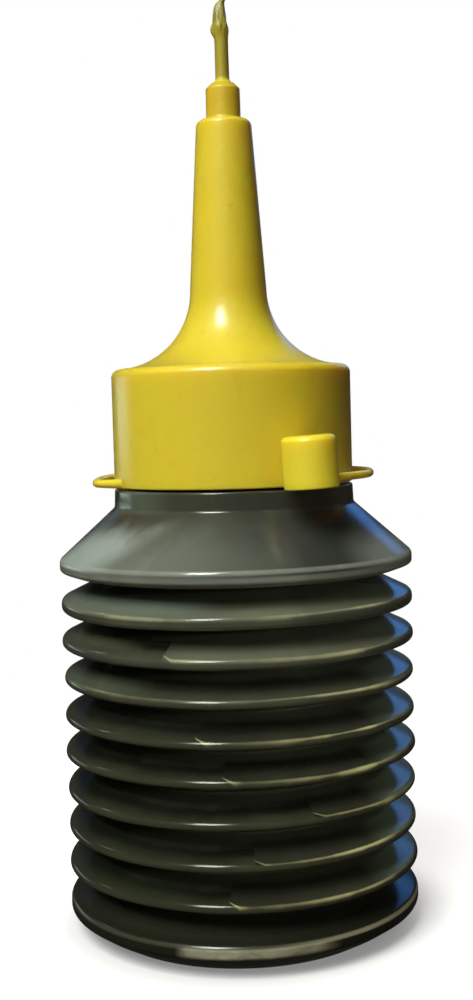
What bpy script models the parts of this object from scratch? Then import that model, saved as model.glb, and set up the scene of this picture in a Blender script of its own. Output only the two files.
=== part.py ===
"""Grease tube: a folding bellows bottle full of grease, under a screw-on nozzle cap
that carries a small tip cap on a moulded strap.

The bottle stands on the XY plane with its axis on Z, and the tip cap is at the front (-Y) right.
Lengths are in millimetres and angles in degrees, and MM turns a length into Blender's metres.
"""

import math

import bmesh
import bpy
from mathutils import Matrix, Vector

MM = 0.001
NAME = "grease_tube"

# Clearances between pieces
SEAM = 0.3  # between pieces that lie against each other
GREASE_GAP = 0.4  # between the grease and the walls round it

# Bellows of the bottle
CREST_RADIUS = 25.0
ROOT_RADIUS = 19.0
CREST_HEIGHT = 1.2
FOLD_PITCH = 5.34
FOLD_COUNT = 8  # whole folds between the base's crest and the shoulder's crest
BOTTLE_WALL = 0.8

# Foot of the bottle
FOOT_RADIUS = 20.5
FOOT_HEIGHT = 4.4  # up to the middle of the lowest crest
FOOT_RING_WIDTH = 3.0
FOOT_EDGE = 0.6
BASE_RECESS = 1.0

# Shoulder and neck of the bottle
SHOULDER_RISE = 7.24  # from the middle of the top crest
COLLAR_HEIGHT = 2.5
NECK_WALL = 1.4
LIP_EDGE = 0.4

# Nozzle cap: skirt, flare, spout and the seat that the tip cap closes
CAP_RADIUS = 16.9
CAP_HEIGHT = 16.44
CAP_WALL = 1.3
CAP_EDGE = 1.2
CAP_ROOF = 1.5
LAND_WIDTH = 3.6  # ring inside the roof that presses on the liner
FLARE_RADIUS = 11.0
SPOUT_BASE_RADIUS = 5.4
SPOUT_TIP_RADIUS = 3.85
SPOUT_LENGTH = 23.5
SPOUT_WALL = 1.4
SPOUT_EDGE = 0.5
SEAT_RADIUS = 2.4
SEAT_LENGTH = 5.1
SEAT_EDGE = 0.8
SEAT_BORE = 1.2
LINER_THICKNESS = 1.0
LINER_FIT = 0.4  # round the liner inside the skirt

# Screw thread: round beads on the neck and inside the skirt
THREAD_ROOM = 1.6  # between the skirt's inside and the neck
THREAD_BEAD = 0.8
THREAD_SINK = 0.2  # how far a bead's centre stands off its wall
THREAD_PITCH = 3.2
THREAD_TURNS = 1.5
THREAD_START = 4.0  # of the neck's thread above the collar
THREAD_RUN_OUT = 0.4  # bead's share of its full thickness at the ends

# Sealing nib: moulded stem that is cut off to open the nozzle, with a torn end
NIB_RADIUS = 1.0
NIB_BORE = 0.5
NIB_STEM = 6.4
TORN_LENGTH = 5.1
TORN_SWAY = 0.8  # sideways at the torn end's point
TORN_END = [  # shares of the sway, of the torn length and of the stem's radius
    (-0.12, 0.12, 1.15),
    (-0.35, 0.33, 0.92),
    (-0.38, 0.55, 0.80),
    (-0.02, 0.76, 0.66),
    (0.56, 0.92, 0.40),
    (1.00, 1.00, 0.18),
]

# Strap: a ring of flexible links round the skirt
STRAP_THICKNESS = 1.1
STRAP_GAP = 2.05  # between the skirt and the strap
STRAP_HEIGHT = 1.1  # of the strap's middle above the cap's rim
STRAP_START = 193.0  # where the strap's first hinge lies, seen from above
STRAP_ROOT_SPREAD = 14.0  # over which the root leaves the skirt
STRAP_LINKS = 8
LINK_GAP = 0.5

# Tip cap: closes the seat once the nib is cut
TIP_ANGLE = -61.0
TIP_FIT = 0.1
TIP_WALL = 1.14
TIP_TAPER = 0.4
TIP_ROOF = 1.45
TIP_EDGE = 0.7
TIP_DEPTH_ROOM = 0.3  # in the bore beyond the seat's length
TIP_CLEARANCE = 0.4  # between the tip cap and the skirt
STRAP_END_GAP = 0.45  # between the strap's end and the tip cap

# Facets
BOTTLE_SEGMENTS = 40
SMALL_SEGMENTS = 24
TUBE_RESOLUTION = 2
ARC_STEPS = 6
FLARE_STEPS = 9
THREAD_STEPS = 28  # points for each turn
SHARP_ANGLE = 35.0
MERGE = 1e-6  # metres

# Shapes that several pieces share
CREST_RIM = CREST_HEIGHT / 2
FOLD_HALF = (FOLD_PITCH - SEAM) / 2
FOLD_SLOPE = (FOLD_HALF - CREST_RIM) / (CREST_RADIUS - ROOT_RADIUS)
INNER_ROOT = ROOT_RADIUS - BOTTLE_WALL
INNER_CREST = CREST_RADIUS - BOTTLE_WALL
INNER_HALF = CREST_RIM + FOLD_SLOPE * (CREST_RADIUS - INNER_ROOT) - BOTTLE_WALL * math.hypot(1, FOLD_SLOPE)
INNER_SLOPE = INNER_HALF / (INNER_CREST - INNER_ROOT)
COLLAR_RADIUS = CAP_RADIUS  # the collar lies flush with the cap's skirt
SHOULDER_SLOPE = (SHOULDER_RISE - CREST_RIM) / (CREST_RADIUS - COLLAR_RADIUS)
SHOULDER_INNER = SHOULDER_RISE + BOTTLE_WALL * (SHOULDER_SLOPE - math.hypot(1, SHOULDER_SLOPE))
COLLAR_TOP = SHOULDER_RISE + COLLAR_HEIGHT
COLLAR_INNER = COLLAR_RADIUS - BOTTLE_WALL
CAP_INNER = CAP_RADIUS - CAP_WALL
CAP_CEILING = CAP_HEIGHT - CAP_ROOF
LAND_RADIUS = CAP_INNER - LAND_WIDTH
FLARE_CENTRE = SPOUT_BASE_RADIUS + FLARE_RADIUS
FLARE_TOP = CAP_HEIGHT + FLARE_RADIUS
SPOUT_TOP = FLARE_TOP + SPOUT_LENGTH
SEAT_TOP = SPOUT_TOP + SEAT_LENGTH
NECK_RADIUS = CAP_INNER - THREAD_ROOM
NECK_BORE = NECK_RADIUS - NECK_WALL
STRAP_RADIUS = CAP_RADIUS + STRAP_GAP + STRAP_THICKNESS / 2
TIP_BORE = SEAT_RADIUS + TIP_FIT
TIP_RADIUS = TIP_BORE + TIP_WALL
TIP_DEPTH = SEAT_LENGTH + TIP_DEPTH_ROOM
TIP_HEIGHT = TIP_DEPTH + TIP_ROOF
TIP_RING = CAP_RADIUS + TIP_CLEARANCE + TIP_RADIUS

# Heights of the pieces' own origins above the ground, and of the neck's lip above the top crest
SHOULDER_Z = FOOT_HEIGHT + (FOLD_COUNT + 1) * FOLD_PITCH
CAP_Z = SHOULDER_Z + COLLAR_TOP + SEAM
LINER_Z = CAP_Z + CAP_CEILING - SEAM - LINER_THICKNESS
NECK_LIP = LINER_Z - SEAM - SHOULDER_Z

YELLOW = ("yellow_polyethylene", (0.74, 0.58, 0.045), 0.34)
SMOKE = ("smoky_polyethylene", (0.075, 0.080, 0.068), 0.30)
GREASE = ("dark_grease", (0.012, 0.013, 0.010), 0.45)
FOAM = ("liner_foam", (0.78, 0.77, 0.72), 0.85)


def clear_scene():
    for obj in list(bpy.data.objects):
        bpy.data.objects.remove(obj)


def make_material(name, colour, roughness):
    material = bpy.data.materials.get(name) or bpy.data.materials.new(name)
    material.use_nodes = True
    shader = material.node_tree.nodes["Principled BSDF"]
    shader.inputs["Base Color"].default_value = (*colour, 1.0)
    shader.inputs["Roughness"].default_value = roughness
    shader.inputs["Metallic"].default_value = 0.0
    return material


def make_collection(name):
    collection = bpy.data.collections.new(name)
    bpy.context.scene.collection.children.link(collection)
    return collection


def read_mesh(obj):
    """The object's mesh with its modifiers applied, welded and shaded. The object is removed."""
    bpy.context.view_layer.update()
    depsgraph = bpy.context.evaluated_depsgraph_get()
    mesh = bpy.data.meshes.new_from_object(obj.evaluated_get(depsgraph))
    bpy.data.objects.remove(obj)
    shape = bmesh.new()
    shape.from_mesh(mesh)
    bmesh.ops.remove_doubles(shape, verts=shape.verts, dist=MERGE)
    shape.to_mesh(mesh)
    shape.free()
    mesh.shade_smooth()
    mesh.set_sharp_from_angle(angle=math.radians(SHARP_ANGLE))
    return mesh


def working_object(data):
    obj = bpy.data.objects.new("working", data)
    bpy.context.scene.collection.objects.link(obj)
    return obj


def turned(outline, segments, ring=True):
    """An outline of (radius, height) points turned about Z. A ring's outline closes on itself,
    and the outline of a solid piece starts and ends on the axis."""
    mesh = bpy.data.meshes.new("outline")
    edges = [(i, i + 1) for i in range(len(outline) - 1)]
    if ring:
        edges.append((len(outline) - 1, 0))
    mesh.from_pydata([(radius * MM, 0, height * MM) for radius, height in outline], edges, [])
    obj = working_object(mesh)
    screw = obj.modifiers.new("Turn", "SCREW")
    screw.axis = "Z"
    screw.angle = math.tau
    screw.steps = segments
    screw.render_steps = segments
    screw.use_merge_vertices = True
    screw.merge_threshold = MERGE
    return read_mesh(obj)


def tube(points, radius, shares=None):
    """A round tube with closed ends along points, with the share of its radius at each point."""
    curve = bpy.data.curves.new("tube", "CURVE")
    curve.dimensions = "3D"
    curve.bevel_depth = radius * MM
    curve.bevel_resolution = TUBE_RESOLUTION
    curve.use_fill_caps = True
    spline = curve.splines.new("POLY")
    spline.points.add(len(points) - 1)
    for i, point in enumerate(points):
        spline.points[i].co = (*(Vector(point) * MM), 1.0)
        spline.points[i].radius = shares[i] if shares else 1.0
    return read_mesh(working_object(curve))


def united(body, *additions):
    """The body's mesh with other closed meshes joined to it as one solid."""
    for addition in additions:
        obj = working_object(body)
        other = working_object(addition)
        join = obj.modifiers.new("Join", "BOOLEAN")
        join.operation = "UNION"
        join.object = other
        body = read_mesh(obj)
        bpy.data.objects.remove(other)
    return body


def add_part(collection, name, mesh, finish, location=(0, 0, 0), turn=0.0, parent=None):
    """A named piece, placed by its location and its turn about Z, from its parent's origin if it has one."""
    obj = bpy.data.objects.new(name, mesh)
    collection.objects.link(obj)
    if not mesh.materials:
        mesh.materials.append(make_material(*finish))
    obj.location = Vector(location) * MM
    obj.rotation_euler = (0, 0, math.radians(turn))
    obj.parent = parent
    return obj


def on_circle(radius, angle, height=0.0):
    return Vector((radius * math.cos(math.radians(angle)), radius * math.sin(math.radians(angle)), height))


def flare_arc(radius, reach, steps):
    """The flare's arc about its centre, from the spout's side out to the radius that it reaches."""
    end = math.asin(max(0.0, (FLARE_CENTRE - reach) / radius))
    angles = [math.pi / 2 + (end - math.pi / 2) * i / steps for i in range(steps + 1)]
    return [(FLARE_CENTRE - radius * math.sin(a), FLARE_TOP - radius * math.cos(a)) for a in angles]


def thread_bead(wall_radius, start):
    """A right-hand helical bead along a wall, thinner at both ends."""
    count = round(THREAD_STEPS * THREAD_TURNS)
    turns = [THREAD_TURNS * i / count for i in range(count + 1)]
    points = [on_circle(wall_radius, 360.0 * turn, start + THREAD_PITCH * turn) for turn in turns]
    shares = [THREAD_RUN_OUT] + [1.0] * (count - 1) + [THREAD_RUN_OUT]
    return tube(points, THREAD_BEAD, shares)


def fold_mesh():
    """One fold of the bellows, about the middle of its crest, with its ends at the roots."""
    return turned(
        [
            (ROOT_RADIUS, FOLD_HALF),
            (CREST_RADIUS, CREST_RIM),
            (CREST_RADIUS, -CREST_RIM),
            (ROOT_RADIUS, -FOLD_HALF),
            (INNER_ROOT, -FOLD_HALF),
            (INNER_ROOT, -INNER_HALF),
            (INNER_CREST, 0),
            (INNER_ROOT, INNER_HALF),
            (INNER_ROOT, FOLD_HALF),
        ],
        BOTTLE_SEGMENTS,
    )


def base_mesh():
    """The foot, its recessed floor and the upper flank of the lowest crest."""
    ring_edge = FOOT_RADIUS - FOOT_RING_WIDTH
    floor = BASE_RECESS + BOTTLE_WALL
    return turned(
        [
            (0, floor),
            (ring_edge - BASE_RECESS, floor),
            (ring_edge, BOTTLE_WALL),
            (FOOT_RADIUS - BOTTLE_WALL, BOTTLE_WALL),
            (INNER_CREST, FOOT_HEIGHT),
            (INNER_ROOT, FOOT_HEIGHT + INNER_HALF),
            (INNER_ROOT, FOOT_HEIGHT + FOLD_HALF),
            (ROOT_RADIUS, FOOT_HEIGHT + FOLD_HALF),
            (CREST_RADIUS, FOOT_HEIGHT + CREST_RIM),
            (CREST_RADIUS, FOOT_HEIGHT - CREST_RIM),
            (FOOT_RADIUS, FOOT_EDGE),
            (FOOT_RADIUS - FOOT_EDGE, 0),
            (ring_edge, 0),
            (ring_edge - BASE_RECESS, BASE_RECESS),
            (0, BASE_RECESS),
        ],
        BOTTLE_SEGMENTS,
        ring=False,
    )


def shoulder_mesh():
    """The shoulder above the middle of the top crest, with the crest's lower flank."""
    return turned(
        [
            (COLLAR_RADIUS, SHOULDER_RISE),
            (CREST_RADIUS, CREST_RIM),
            (CREST_RADIUS, -CREST_RIM),
            (ROOT_RADIUS, -FOLD_HALF),
            (INNER_ROOT, -FOLD_HALF),
            (INNER_ROOT, -INNER_HALF),
            (INNER_CREST, 0),
            (COLLAR_INNER, SHOULDER_INNER),
            (COLLAR_INNER, SHOULDER_RISE),
        ],
        BOTTLE_SEGMENTS,
    )


def neck_mesh():
    """The collar on the shoulder and the threaded neck, from the middle of the top crest."""
    wall = turned(
        [
            (NECK_RADIUS - LIP_EDGE, NECK_LIP),
            (NECK_RADIUS, NECK_LIP - LIP_EDGE),
            (NECK_RADIUS, COLLAR_TOP),
            (COLLAR_RADIUS, COLLAR_TOP),
            (COLLAR_RADIUS, SHOULDER_RISE + SEAM),
            (COLLAR_INNER, SHOULDER_RISE + SEAM),
            (COLLAR_INNER, COLLAR_TOP - BOTTLE_WALL),
            (NECK_BORE, COLLAR_TOP - BOTTLE_WALL),
            (NECK_BORE, NECK_LIP),
        ],
        BOTTLE_SEGMENTS,
    )
    return united(wall, thread_bead(NECK_RADIUS + THREAD_SINK, COLLAR_TOP + THREAD_START))


def strap_root():
    """The strap's root, which leaves the skirt's wall and swings out to the first hinge."""
    inside = CAP_RADIUS - CAP_WALL / 2
    gap_angle = math.degrees(LINK_GAP / 2 / STRAP_RADIUS)
    points = []
    for i in range(ARC_STEPS + 1):
        share = i / ARC_STEPS
        ease = share * share * (3 - 2 * share)
        angle = STRAP_START + gap_angle + STRAP_ROOT_SPREAD * (1 - share)
        points.append(on_circle(inside + (STRAP_RADIUS - inside) * ease, angle, STRAP_HEIGHT))
    return tube(points, STRAP_THICKNESS / 2)


def cap_mesh():
    """The nozzle cap above its rim, with its thread and the strap's root."""
    outline = [
        (NIB_BORE, SEAT_TOP),
        (SEAT_RADIUS - SEAT_EDGE, SEAT_TOP),
        (SEAT_RADIUS, SEAT_TOP - SEAT_EDGE),
        (SEAT_RADIUS, SPOUT_TOP),
        (SPOUT_TIP_RADIUS - SPOUT_EDGE, SPOUT_TOP),
        (SPOUT_TIP_RADIUS, SPOUT_TOP - SPOUT_EDGE),
    ]
    outline += flare_arc(FLARE_RADIUS, CAP_RADIUS - CAP_EDGE, FLARE_STEPS)
    outline += [
        (CAP_RADIUS - CAP_EDGE * 0.3, CAP_HEIGHT - CAP_EDGE * 0.3),
        (CAP_RADIUS, CAP_HEIGHT - CAP_EDGE),
        (CAP_RADIUS, 0),
        (CAP_INNER, 0),
        (CAP_INNER, CAP_CEILING),
        (LAND_RADIUS, CAP_CEILING),
    ]
    outline += reversed(flare_arc(FLARE_RADIUS + SPOUT_WALL, LAND_RADIUS, ARC_STEPS))
    outline += [
        (SPOUT_TIP_RADIUS - SPOUT_WALL, SPOUT_TOP - SPOUT_WALL),
        (SEAT_BORE, SPOUT_TOP),
    ]
    thread_start = COLLAR_TOP + THREAD_START - THREAD_PITCH / 2 + SHOULDER_Z - CAP_Z
    thread = thread_bead(CAP_INNER - THREAD_SINK, thread_start)
    return united(turned(outline, BOTTLE_SEGMENTS), thread, strap_root())


def liner_mesh():
    """The foam ring between the neck's lip and the cap's roof."""
    outer = CAP_INNER - LINER_FIT
    return turned(
        [(outer, LINER_THICKNESS), (outer, 0), (NECK_BORE, 0), (NECK_BORE, LINER_THICKNESS)],
        BOTTLE_SEGMENTS,
    )


def nib_mesh():
    """The stem that seals the nozzle, with the torn end that its moulding left."""
    points = [(0, 0, 0), (0, 0, NIB_STEM / 2), (0, 0, NIB_STEM)]
    shares = [1.0] * len(points)
    for sideways, rise, share in TORN_END:
        points.append((TORN_SWAY * sideways, 0, NIB_STEM + TORN_LENGTH * rise))
        shares.append(share)
    return tube(points, NIB_RADIUS, shares)


def grease_mesh():
    """The grease in the bottle, which fills its folds, from the ground up."""
    gap = GREASE_GAP
    neck = NECK_BORE - gap
    collar = COLLAR_INNER - gap
    root = INNER_ROOT - gap
    drop = gap * math.hypot(1, INNER_SLOPE)
    crest = INNER_CREST - drop / INNER_SLOPE
    half = INNER_SLOPE * (crest - root)
    floor = BASE_RECESS + BOTTLE_WALL + gap
    outline = [
        (0, SHOULDER_Z + NECK_LIP - gap),
        (neck, SHOULDER_Z + NECK_LIP - gap),
        (neck, SHOULDER_Z + COLLAR_TOP - BOTTLE_WALL - gap),
        (collar, SHOULDER_Z + COLLAR_TOP - BOTTLE_WALL - gap),
        (collar, SHOULDER_Z + SHOULDER_INNER - gap),
        (crest, SHOULDER_Z),
        (root, SHOULDER_Z - half),
    ]
    for i in range(FOLD_COUNT, 0, -1):
        middle = FOOT_HEIGHT + i * FOLD_PITCH
        outline += [(root, middle + half), (crest, middle), (root, middle - half)]
    outline += [
        (root, FOOT_HEIGHT + half),
        (crest, FOOT_HEIGHT),
        (FOOT_RADIUS - FOOT_RING_WIDTH, floor),
        (0, floor),
    ]
    return turned(outline, SMALL_SEGMENTS, ring=False)


def nozzle_grease_mesh():
    """The grease that fills the cap's flare and spout, from the cap's rim."""
    gap = GREASE_GAP
    reach = LAND_RADIUS - gap
    outline = [
        (0, SPOUT_TOP - gap),
        (SEAT_BORE - gap, SPOUT_TOP - gap),
        (SPOUT_TIP_RADIUS - SPOUT_WALL - gap, SPOUT_TOP - SPOUT_WALL - gap),
    ]
    outline += flare_arc(FLARE_RADIUS + SPOUT_WALL + gap, reach, ARC_STEPS)
    bottom = CAP_CEILING - SEAM - LINER_THICKNESS
    outline += [(reach, bottom), (0, bottom)]
    return turned(outline, SMALL_SEGMENTS, ring=False)


def strap_turn_and_end():
    """The angle that each link takes up, and the strap's end, where it meets the tip cap."""
    reach = TIP_RADIUS + STRAP_END_GAP
    between = (TIP_RING**2 + STRAP_RADIUS**2 - reach**2) / (2 * TIP_RING * STRAP_RADIUS)
    end = TIP_ANGLE + math.degrees(math.acos(between))
    return (STRAP_START - end) / STRAP_LINKS, end


def link_mesh(link_turn):
    """One link of the strap, from its hinge, with the ring's centre on its -X side."""
    gap_angle = math.degrees(LINK_GAP / 2 / STRAP_RADIUS)
    centre = Vector((STRAP_RADIUS, 0, 0))
    points = [
        on_circle(STRAP_RADIUS, -gap_angle - (link_turn - 2 * gap_angle) * i / ARC_STEPS) - centre
        for i in range(ARC_STEPS + 1)
    ]
    return tube(points, STRAP_THICKNESS / 2)


def last_link_mesh(link_turn):
    """The last link, which runs on to the tip cap."""
    gap_angle = math.degrees(LINK_GAP / 2 / STRAP_RADIUS)
    centre = Vector((STRAP_RADIUS, 0, 0))
    points = [
        on_circle(STRAP_RADIUS, -gap_angle - (link_turn - gap_angle) * i / ARC_STEPS) - centre
        for i in range(ARC_STEPS + 1)
    ]
    return tube(points, STRAP_THICKNESS / 2)


def tip_cap_mesh(middle):
    """The tip cap, open below, with its middle at a place from the strap's end."""
    top = TIP_HEIGHT - STRAP_HEIGHT
    bottom = -STRAP_HEIGHT
    top_radius = TIP_RADIUS - TIP_TAPER
    mesh = turned(
        [
            (0, top),
            (top_radius - TIP_EDGE, top),
            (top_radius - TIP_EDGE * 0.3, top - TIP_EDGE * 0.3),
            (top_radius, top - TIP_EDGE),
            (TIP_RADIUS, bottom),
            (TIP_BORE, bottom),
            (TIP_BORE, bottom + TIP_DEPTH),
            (0, bottom + TIP_DEPTH),
        ],
        SMALL_SEGMENTS,
        ring=False,
    )
    mesh.transform(Matrix.Translation(middle * MM))
    return mesh


def add_strap_and_tip_cap(collection, cap):
    """The links hang one from the next, each turned about its own hinge, and the last holds the tip cap."""
    link_turn, end = strap_turn_and_end()
    shared = link_mesh(link_turn)
    step = on_circle(STRAP_RADIUS, -link_turn) - Vector((STRAP_RADIUS, 0, 0))
    parent, location, turn = cap, on_circle(STRAP_RADIUS, STRAP_START, STRAP_HEIGHT), STRAP_START
    for i in range(1, STRAP_LINKS + 1):
        mesh = shared if i < STRAP_LINKS else last_link_mesh(link_turn)
        parent = add_part(collection, f"strap_link_{i}", mesh, YELLOW, location, turn, parent)
        location, turn = step, -link_turn
    middle = on_circle(TIP_RING, TIP_ANGLE - end) - Vector((STRAP_RADIUS, 0, 0))
    add_part(collection, "tip_cap", tip_cap_mesh(middle), YELLOW, location, turn, parent)


def main():
    clear_scene()
    parts = make_collection(NAME)
    add_part(parts, "bottle_base", base_mesh(), SMOKE)
    fold = fold_mesh()
    for i in range(1, FOLD_COUNT + 1):
        add_part(parts, f"bellows_fold_{i}", fold, SMOKE, (0, 0, FOOT_HEIGHT + i * FOLD_PITCH))
    shoulder = add_part(parts, "bottle_shoulder", shoulder_mesh(), SMOKE, (0, 0, SHOULDER_Z))
    neck = add_part(parts, "bottle_neck", neck_mesh(), SMOKE, parent=shoulder)
    add_part(parts, "grease_fill", grease_mesh(), GREASE)
    add_part(parts, "cap_liner", liner_mesh(), FOAM, (0, 0, LINER_Z - SHOULDER_Z), parent=neck)
    cap = add_part(parts, "nozzle_cap", cap_mesh(), YELLOW, (0, 0, CAP_Z - SHOULDER_Z), parent=neck)
    add_part(parts, "nozzle_grease", nozzle_grease_mesh(), GREASE, parent=cap)
    add_part(parts, "sealing_nib", nib_mesh(), YELLOW, (0, 0, SEAT_TOP + SEAM), parent=cap)
    add_strap_and_tip_cap(parts, cap)
    bpy.context.view_layer.update()


main()
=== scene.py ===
"""Looks of the grease tube: the folding bottle's skin, the yellow nozzle cap with its strap and
tip cap, their finishes, and the studio round them.

Lengths are in millimetres unless a comment says metres. Angles are in degrees from +X towards +Y, and
the front is -Y. Colours are linear.
"""

import math

import bmesh
import bpy
import numpy as np
from mathutils import Euler, Matrix, Vector


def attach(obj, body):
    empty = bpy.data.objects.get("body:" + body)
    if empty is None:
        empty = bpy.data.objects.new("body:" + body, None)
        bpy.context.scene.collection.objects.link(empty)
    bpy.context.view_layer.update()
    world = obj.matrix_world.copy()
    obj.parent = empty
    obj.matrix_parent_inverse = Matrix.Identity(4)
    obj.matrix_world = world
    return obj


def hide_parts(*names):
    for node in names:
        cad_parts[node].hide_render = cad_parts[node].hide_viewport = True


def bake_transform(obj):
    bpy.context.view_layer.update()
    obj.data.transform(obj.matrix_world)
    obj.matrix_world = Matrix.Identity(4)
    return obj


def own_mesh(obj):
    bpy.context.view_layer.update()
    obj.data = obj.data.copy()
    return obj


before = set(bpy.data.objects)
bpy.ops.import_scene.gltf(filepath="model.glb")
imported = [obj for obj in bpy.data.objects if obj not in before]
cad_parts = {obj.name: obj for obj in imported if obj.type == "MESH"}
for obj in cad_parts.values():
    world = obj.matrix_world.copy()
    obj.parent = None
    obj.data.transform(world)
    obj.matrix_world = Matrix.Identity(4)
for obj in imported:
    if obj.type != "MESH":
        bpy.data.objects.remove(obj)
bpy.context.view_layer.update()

MM = 0.001

# Bellows, as in the part's source
CREST_R = 25.0
ROOT_R = 19.0
PITCH = 5.34
HALF = PITCH / 2
FOLDS = 8
BASE_CREST_Z = 4.4
SHOULDER_Z = BASE_CREST_Z + (FOLDS + 1) * PITCH
WALL = 0.8

# Rims as (radius, height from the fold's plane, fillet), thicker on the upper folds
RIM_TOP = (CREST_R, 0.20, 0.92)
RIM_LOW = (CREST_R, -0.72, 0.40)
THICK_RIMS = {8: (CREST_R, -1.30, 0.62), 7: (CREST_R, -1.00, 0.50), 6: (CREST_R, -0.80, 0.45)}
SHOULDER_RIM = [(CREST_R, -1.45, 0.45), (CREST_R - 1.8, -2.10, 1.0)]
# How far some crests hang below their planes
SAG = {8: -0.50, 7: -0.45, 6: -0.35, 5: -0.35}
# Where the base's and the shoulder's crests are split from the flanks that fold
RIM_MIDDLE = -0.425
SHOULDER_MIDDLE = -0.62
# Roots, with half of the hairline between two folds
VALLEY_DEPTH = 0.68
VALLEY_STEPS = 6
SEAM = 0.015
# Inside of the wall
INNER_R = ROOT_R - 0.6
INNER_EDGE = 0.4
INNER_TIP = CREST_R - 1.1
# Unevenness of a fold's rim as (size, waves round the rim, phase for each fold), outward and upward
WOBBLE_OUT = ((0.07, 2, 1.9), (0.035, 5, 2.3))
WOBBLE_UP = ((0.09, 2, 1.1), (0.04, 3, 0.7))
WOBBLE_START = ROOT_R + 1.0
WOBBLE_INSET = 0.08

# Foot, shoulder, collar and neck
FOOT_R = 20.5
FOOT_RING = 3.0
RECESS = 1.0
COLLAR_R = 16.9
COLLAR_Z = SHOULDER_Z + 7.24
COLLAR_TOP = COLLAR_Z + 2.5
NECK_R = 14.0
NECK_BORE = 12.6
LIP_Z = 75.84

# Grease
GREASE_GAP = 0.5
GREASE_TIP = INNER_TIP - 2.4
GREASE_HALF = HALF - 1.0
GREASE_FLOOR = 2.4
GREASE_LONGEST = 3.0

# Nozzle cap
CAP_R = 16.9
CAP_INNER = 15.6
CAP_Z = COLLAR_TOP + 0.3
CAP_TOP = CAP_Z + 16.44
CEILING = CAP_TOP - 1.5
LAND_R = 12.0
FLARE_R = 11.0
FLARE_CENTRE = 16.4
FLARE_TOP = CAP_TOP + FLARE_R
FLARE_STEPS = 26
BORE_STEPS = 12
SPOUT_TIP_R = 3.85
SPOUT_WALL = 1.4
SPOUT_TOP = FLARE_TOP + 23.5
SEAT_R = 2.4
SEAT_TOP = SPOUT_TOP + 5.1

# Nib: height above the seat, sideways place of the middle, half width, half depth and raggedness
NIB_RINGS = [
    (-0.15, 0.00, 1.50, 1.50, 0.0),
    (0.02, 0.00, 1.42, 1.42, 0.0),
    (0.20, 0.00, 1.16, 1.16, 0.0),
    (0.45, 0.00, 1.02, 1.02, 0.0),
    (1.00, 0.00, 0.98, 0.98, 0.0),
    (2.40, 0.00, 0.97, 0.97, 0.0),
    (4.00, -0.01, 0.96, 0.96, 0.0),
    (5.50, -0.02, 0.96, 0.96, 0.1),
    (6.10, -0.03, 0.98, 0.98, 0.2),
    (6.40, -0.07, 1.04, 1.00, 0.5),
    (6.70, -0.14, 1.13, 1.04, 0.8),
    (7.10, -0.21, 1.19, 1.06, 1.0),
    (7.50, -0.22, 1.19, 1.05, 1.0),
    (7.85, -0.19, 1.11, 0.99, 1.0),
    (8.20, -0.16, 1.02, 0.90, 1.0),
    (8.70, -0.16, 0.95, 0.80, 1.0),
    (9.30, -0.17, 0.88, 0.70, 1.0),
    (9.90, -0.17, 0.83, 0.62, 1.0),
    (10.40, -0.15, 0.75, 0.54, 1.0),
    (10.75, -0.10, 0.63, 0.46, 1.0),
    (11.05, 0.02, 0.50, 0.38, 0.9),
    (11.35, 0.22, 0.40, 0.30, 0.7),
    (11.60, 0.46, 0.33, 0.23, 0.5),
    (11.76, 0.68, 0.25, 0.16, 0.3),
]
NIB_POINT = (0.88, 11.84)
NIB_SIDES = 28
# Its raggedness as (size, waves round it, turn of the waves for each millimetre up), outward and upward
NIB_LUMPS = ((0.07, 5, 1.3), (0.05, 9, -2.1))
NIB_LIFT = (0.10, 3, 1.0)

# Screw thread, as (radius, start height) on the neck and in the cap
NECK_THREAD = (14.2, 66.2)
CAP_THREAD = (15.4, 64.6)
THREAD_BEAD = 0.8
THREAD_PITCH = 3.2
THREAD_TURNS = 1.5
THREAD_STEPS = 110
THREAD_END = 0.35  # bead's share of its full thickness at the ends
THREAD_RUN_OUT = 9  # parts of the length, one of which each end takes to thicken

# Strap
STRAP_R = 19.5
STRAP_Z = CAP_Z + 1.1
STRAP_THICK = 1.1
STRAP_START = 193.0
STRAP_END = -50.129
STRAP_DROP = 0.45
STRAP_EASE = 60.0
LINKS = 8
LINK_STEP = (STRAP_START - STRAP_END) / LINKS
LINK_POINTS = 19
BEND_REACH = 0.42  # of a link, on each side of its hinge
# How much less each link is bowed than the circle, so that the strap runs straighter when uncoiled
STRAP_FLAT = 0.13
# The strap's root in the skirt
ROOT_TURN = 14.0
ROOT_STEPS = 14
ROOT_DEPTH = 0.5
ROOT_THICKER = 0.55
ROOT_BEND = 8.0
ROOT_POINTS = 10  # from the root's hinge to the middle of the first link
# The strap's end at the tip cap: shares of the way in, with the thickness there
END_BEND = 14.0
END_CLEAR = 2.0  # degrees before the last hinge, where the way in starts
END_POINTS = 12
END_SHAPE = ((0.0, 1.05), (0.12, 1.12), (0.3, 1.2))

# Tip cap
TIP_ANGLE = -61.0
TIP_RING = 20.94
TIP_R = 3.64
TIP_TOP_R = 3.58
TIP_HEIGHT = 6.85
TIP_BORE = 2.5
TIP_DEPTH = 5.4
TIP_LEAN = -3.0
# Painted light: the tip cap's yellow is paler than the cap's, for the brighter light that it catches
TIP_PAINTED_LIGHT = 1.15  # how much paler it is than the cap
TIP_LONGEST = 0.5

# Facets
SEGMENTS = 144
SMALL_SEGMENTS = 64
BAR_SIDES = 16
ARC_STEP = math.radians(9)
LONGEST = 0.9
SHARP = math.radians(40)
ON_AXIS = 1e-6


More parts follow.
